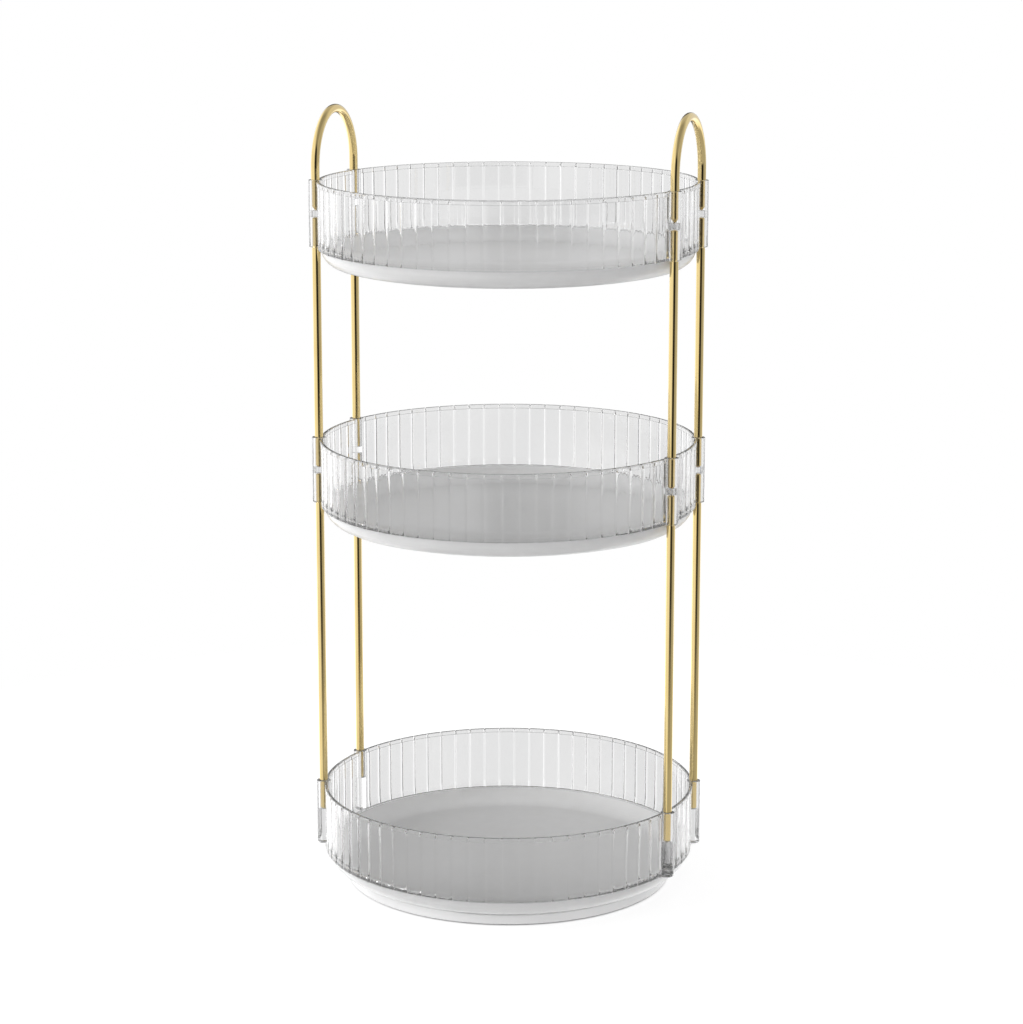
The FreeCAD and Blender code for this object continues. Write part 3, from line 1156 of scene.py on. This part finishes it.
@dataclass(frozen=True)
class Ways:
    """How far a place or a direction lies each way, as seen from the camera."""

    left: Signal
    right: Signal
    front: Signal
    back: Signal
    up: Signal
    down: Signal


def ways_from(x: Signal, y: Signal, z: Signal, azimuth: float) -> Ways:
    """Turn the frame's axes to the camera.

    Args:
        x: how far along X.
        y: how far along Y.
        z: how far along Z.
        azimuth: how far the camera stands round from -Y, in radians.

    Returns:
        The same place or direction, each way.
    """
    right = x * math.cos(azimuth) + y * math.sin(azimuth)
    front = x * math.sin(azimuth) - y * math.cos(azimuth)
    return Ways(0 - right, right, front, 0 - front, z, 0 - z)


@dataclass(frozen=True)
class Ramp:
    """A smooth change over a stretch of places or directions."""

    start: float
    stop: float
    gain: float = 1.0

    def rise(self, along: Signal) -> Signal:
        """From 0 at its start to its gain at its stop."""
        return along.between(self.start, self.stop) * self.gain

    def dim(self, along: Signal) -> Signal:
        """From 1 at its start to 1 less its gain at its stop."""
        return 1 - self.rise(along)


@dataclass(frozen=True)
class Floor:
    """A round pale floor whose edge melts into the white around it."""

    azimuth: float
    radius: float = 0.60
    sides: int = 128
    # the floor is paper that takes shadows under the base, and glows more and more around it
    shadow: Ramp = Ramp(0.12**2, 0.34**2)
    shadow_share: float = 0.25
    contact_share: float = 0.75
    contact_inside: float = 2.0 * MM
    contact_outside: float = 1.0 * MM
    paper: Colour = rgba(0.92, 0.92, 0.92)
    white: Colour = rgba(1.0, 1.0, 1.0)
    glow: float = 0.95
    left_glow: Ramp = Ramp(0.1, 0.4, 0.50)
    seen_glow: float = 1.14

    def lay(self) -> None:
        """Make the floor and hide it from gloss and clear plastic, which show the room instead."""
        deselect()
        bpy.ops.mesh.primitive_circle_add(
            vertices=self.sides, radius=self.radius, fill_type="NGON"
        )
        floor = finished("floor")
        dress(floor, self._material())
        floor.visible_glossy = False
        floor.visible_transmission = False
        floor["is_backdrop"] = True

    def _material(self) -> bpy.types.Material:
        """Make the floor's material.

        Returns:
            Paper near the base that turns into a white glow.
        """
        material, graph = blank_material("pale_floor")
        x, y, z = graph.axes(graph.place())
        spread = x * x + y * y
        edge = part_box("base_plate")[1].x
        contact = Ramp((edge - self.contact_inside) ** 2, (edge + self.contact_outside) ** 2)
        papery = self.shadow.dim(spread) * self.shadow_share
        papery = papery + contact.dim(spread) * self.contact_share
        seen = graph.rays()[0]
        glow = self.left_glow.rise(ways_from(x, y, z, self.azimuth).left) + self.glow
        glow = glow + (self.seen_glow - glow) * seen
        paper = graph.node("ShaderNodeBsdfDiffuse", inputs={"Color": self.paper})
        light = graph.node("ShaderNodeEmission", inputs={"Color": self.white, "Strength": glow})
        mix = graph.node(
            "ShaderNodeMixShader",
            inputs={0: papery, 1: light.outputs[0], 2: paper.outputs[0]},
        )
        graph.node("ShaderNodeOutputMaterial", inputs={"Surface": mix.outputs[0]})
        return material


@dataclass(frozen=True)
class Room:
    """The surroundings: white to the eye, and a room with soft lights to gloss and glass."""

    azimuth: float
    white: Colour = rgba(1.0, 1.0, 1.0)
    ambient: float = 0.47
    ambient_left: Ramp = Ramp(0.1, 0.6, 0.6)
    # the dark part behind the camera
    dark_front: Ramp = Ramp(0.62, 0.86)
    dark_right: Ramp = Ramp(-0.38, -0.05)
    dark_top: Ramp = Ramp(0.45, 0.85)
    dark_foot: Ramp = Ramp(-0.295, -0.25)
    dark_mirrored: float = 0.97
    dark_through: float = 0.95
    # the walls, windows and ceiling that gloss mirrors
    wall: float = 0.50
    wall_left: Ramp = Ramp(0.1, 0.6, 0.55)
    wall_back: Ramp = Ramp(0.2, 0.6)
    back_light: float = 0.3
    back_low: Ramp = Ramp(0.1, 0.3, 0.6)
    window_light: float = 0.3
    window_foot: Ramp = Ramp(0.3, 0.5)
    window_top: Ramp = Ramp(0.75, 0.9)
    window_left: Ramp = Ramp(0.3, 0.45)
    window_right: Ramp = Ramp(0.4, 0.55, 0.6)
    ceiling: Ramp = Ramp(0.25, 0.75, 0.30)
    strip_back: Ramp = Ramp(0.80, 0.94, 0.85)
    strip_left: Ramp = Ramp(-0.30, -0.12)
    strip_right: Ramp = Ramp(0.08, 0.26)
    # the backdrop that is seen through clear plastic, with a soft box and a dark gap on each side
    backdrop: float = 0.86
    right_parts: tuple[Ramp, ...] = (
        Ramp(-0.15, 0.25, -0.04),
        Ramp(0.10, 0.22, 0.17),
        Ramp(0.22, 0.38, 0.27),
        Ramp(0.42, 0.65, -0.40),
    )
    left_parts: tuple[Ramp, ...] = (
        Ramp(0.08, 0.20, 0.18),
        Ramp(0.20, 0.40, 0.50),
        Ramp(0.55, 0.80, -0.65),
    )
    backdrop_up: Ramp = Ramp(0.05, 0.30, 0.55)
    backdrop_down: Ramp = Ramp(0.5, 0.8, 0.5)
    # what a ray sees once it has been thrown back towards the camera inside the plastic
    thrown_back: Ramp = Ramp(0.0, 1.0)
    towards_camera: Ramp = Ramp(-0.10, 0.15)
    towards_light: float = 0.80

    def mirrored(self, ways: Ways, dark: Signal) -> Signal:
        """What gloss mirrors.

        Args:
            ways: the direction.
            dark: the share of the dark part in it.

        Returns:
            The brightness.
        """
        windows = self.window_left.rise(ways.left) + self.window_right.rise(ways.right)
        windows = windows * self.window_foot.rise(ways.up) * self.window_top.dim(ways.up)
        back = self.wall_back.rise(ways.back) * (self.back_low.rise(ways.down) + self.back_light)
        room = self.wall_left.rise(ways.left) + back + windows * self.window_light + self.wall
        strip = self.strip_back.rise(ways.back) * self.strip_left.rise(ways.right)
        strip = strip * self.strip_right.dim(ways.right)
        return room * (1 - dark * self.dark_mirrored) * (1 - strip) * self.ceiling.dim(ways.up)

    def seen_through(self, graph: Graph, ways: Ways, dark: Signal) -> Signal:
        """What clear plastic shows behind it.

        Args:
            graph: the world's tree.
            ways: the direction.
            dark: the share of the dark part in it.

        Returns:
            The brightness.
        """
        lit = self.backdrop
        for part in self.right_parts:
            lit = lit + part.rise(ways.right)
        for part in self.left_parts:
            lit = lit + part.rise(ways.left)
        lit = lit * self.backdrop_up.dim(ways.up) * self.backdrop_down.dim(ways.down)
        path = graph.node("ShaderNodeLightPath")
        mirrorings = Signal(graph, path.outputs["Glossy Depth"])
        returned = self.thrown_back.rise(mirrorings) * self.towards_camera.rise(ways.front)
        towards = (1 - dark * self.dark_through) * self.towards_light
        return lit + (towards - lit) * returned

    def build(self) -> None:
        """Make the world."""
        world = bpy.data.worlds.new("studio")
        bpy.context.scene.world = world
        world.use_nodes = True
        graph = Graph(world.node_tree)
        seen, through, glossy = graph.rays()
        source = graph.node("ShaderNodeTexCoord")
        ways = ways_from(*graph.axes(source.outputs["Generated"]), self.azimuth)
        dark = self.dark_front.rise(ways.front) * self.dark_right.rise(ways.right)
        dark = dark * self.dark_top.dim(ways.up) * self.dark_foot.rise(ways.up)
        value = self.ambient_left.rise(ways.left) + self.ambient
        value = value + (self.mirrored(ways, dark) - value) * glossy
        value = value + (self.seen_through(graph, ways, dark) - value) * through
        value = value + (1 - value) * seen
        background = graph.node(
            "ShaderNodeBackground", inputs={"Color": self.white, "Strength": value}
        )
        graph.node("ShaderNodeOutputWorld", inputs={"Surface": background.outputs[0]})


@dataclass
class Studio:
    """The floor, the lamps, the surroundings and the camera."""

    camera_azimuth: float = 17.035
    camera_pitch: float = 12.305
    camera_distance: float = 1.8516
    camera_height: float = 0.6474
    focal_pixels: float = 2928.66
    axis_pixel: float = 508.51
    sensor: float = 36.0
    # clear walls behind clear walls need this many bounces, or they turn dark
    bounces: int = 28
    transparent_bounces: int = 16
    lamps: tuple[Lamp, ...] = (
        Lamp("key_lamp", (-1.5, -1.1, 1.1), 1.1, 11.0),
        Lamp("fill_lamp", (1.7, -0.9, 1.0), 1.0, 2.5),
        Lamp("top_lamp", (0.1, 0.3, 2.1), 1.2, 8.0),
    )

    def set_camera(self) -> None:
        """Stand the camera where the object is seen from."""
        data = bpy.data.cameras.new("camera")
        data.sensor_width = self.sensor
        data.lens = self.focal_pixels * self.sensor / max(FRAME_WIDTH, FRAME_HEIGHT)
        data.shift_x = (FRAME_WIDTH / 2 - self.axis_pixel) / max(FRAME_WIDTH, FRAME_HEIGHT)
        camera = bpy.data.objects.new("camera", data)
        azimuth = math.radians(self.camera_azimuth)
        camera.location = (
            self.camera_distance * math.sin(azimuth),
            -self.camera_distance * math.cos(azimuth),
            self.camera_height,
        )
        camera.rotation_euler = (math.radians(90.0 - self.camera_pitch), 0.0, azimuth)
        bpy.context.scene.collection.objects.link(camera)
        bpy.context.scene.camera = camera

    def build(self) -> None:
        """Set up everything around the object."""
        azimuth = math.radians(self.camera_azimuth)
        self.set_camera()
        Floor(azimuth).lay()
        Room(azimuth).build()
        low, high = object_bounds()
        for lamp in self.lamps:
            lamp.hang((low + high) / 2)
        scene = bpy.context.scene
        scene.view_settings.view_transform = "Standard"
        scene.cycles.max_bounces = self.bounces
        scene.cycles.transmission_bounces = self.bounces
        scene.cycles.glossy_bounces = self.bounces
        scene.cycles.transparent_max_bounces = self.transparent_bounces


def main() -> None:
    """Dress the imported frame, add the clear trays and set up the studio."""
    logging.basicConfig(level=logging.INFO, format="%(message)s")
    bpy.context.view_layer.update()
    mould = TrayMould()
    band_feet = tuple(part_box(node)[1].z - mould.band for node in Trays.names)
    finishes = {
        Slot.CLEAR: ClearPlastic(band_feet, mould.bowl_depth).build(),
        Slot.FROSTED: FrostedPlastic().build(),
        Slot.GOLD: PaleGold().build(),
        Slot.STEEL: BearingSteel().build(),
        Slot.CAGE: MattePlastic(
            Slot.CAGE,
            light=rgba(0.80, 0.80, 0.77),
            dark=rgba(0.72, 0.72, 0.69),
            roughness=0.5,
            grain_depth=0.03 * MM,
        ).build(),
        Slot.PAD: MattePlastic(
            Slot.PAD,
            light=rgba(0.42, 0.43, 0.44),
            dark=rgba(0.34, 0.35, 0.36),
            roughness=0.8,
            grain_depth=0.06 * MM,
        ).build(),
    }
    trays = Trays(mould, finishes[Slot.CLEAR])
    trays.build()
    KeptPieces(finishes).dress_nodes(trays.names)
    Studio().build()


if __name__ == "__main__":
    main()
